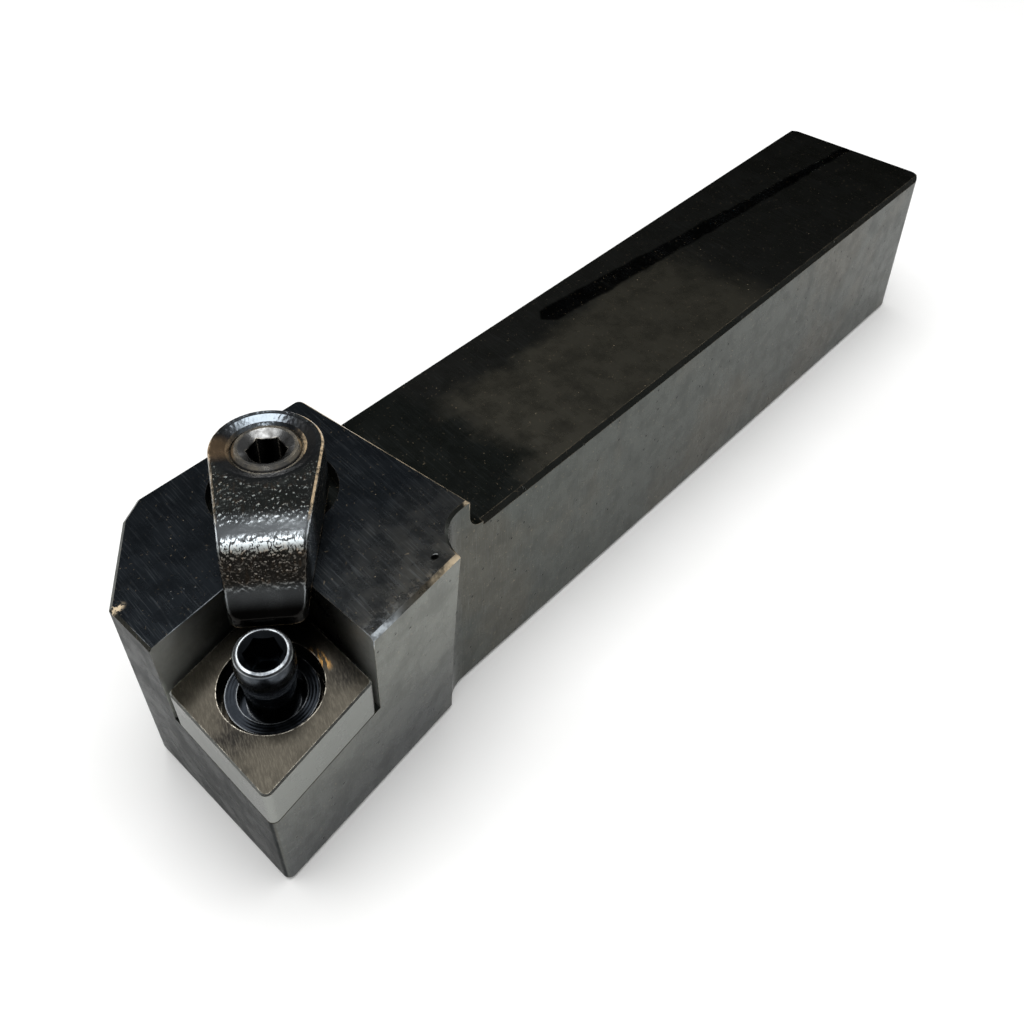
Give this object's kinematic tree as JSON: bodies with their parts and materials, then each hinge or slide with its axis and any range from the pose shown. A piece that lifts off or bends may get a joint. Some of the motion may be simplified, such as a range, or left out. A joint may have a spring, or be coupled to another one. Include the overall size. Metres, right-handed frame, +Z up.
{
  "type": "turning tool holder",
  "caption": "Square-shank external turning tool holder whose angled head carries a tilted rhombic seat with shim, lock pin and a bent clamp on a double-ended screw.",
  "frame": {"origin": "middle of the shank's bottom face", "axes": "+X along the shank towards the cutting corner, +Y to the side the seat opens to, +Z up"},
  "size_m": [0.1496, 0.0341, 0.0362],
  "materials": {
    "blackened_steel": "ground and blackened, worn bare at the edges",
    "ground_carbide": "ground",
    "dark_pin_steel": "turned and blackened",
    "forged_steel": "forged, blasted and blackened",
    "screw_steel": "turned, worn bright at the end"
  },
  "bodies": {
    "holder": {"holder_body": "blackened_steel", "shim": "ground_carbide"},
    "lock_pin": {"lock_pin": "dark_pin_steel"},
    "clamp": {"clamp": "forged_steel"},
    "clamp_screw": {"clamp_screw": "screw_steel"}
  },
  "joints": [
    {"name": "clamp_lift", "type": "slide", "parent": "holder", "child": "clamp", "axis": [0, 0, 1], "range_m": [0, 0.004]},
    {"name": "clamp_screw_turn", "type": "hinge", "parent": "holder", "child": "clamp_screw", "pos_m": [0.0708, -0.005, 0.03], "axis": [0, 0, 1], "range_deg": [0, 580]},
    {"name": "lock_pin_turn", "type": "hinge", "parent": "holder", "child": "lock_pin", "pos_m": [0.08536, 0.00996, 0.01632], "axis": [0.104, 0.104, 0.9891], "range_deg": [0, 360]}
  ],
  "couplings": [
    {"joint": "clamp_screw_turn", "follows": "clamp_lift", "rad_per_m": 2513.3}
  ]
}
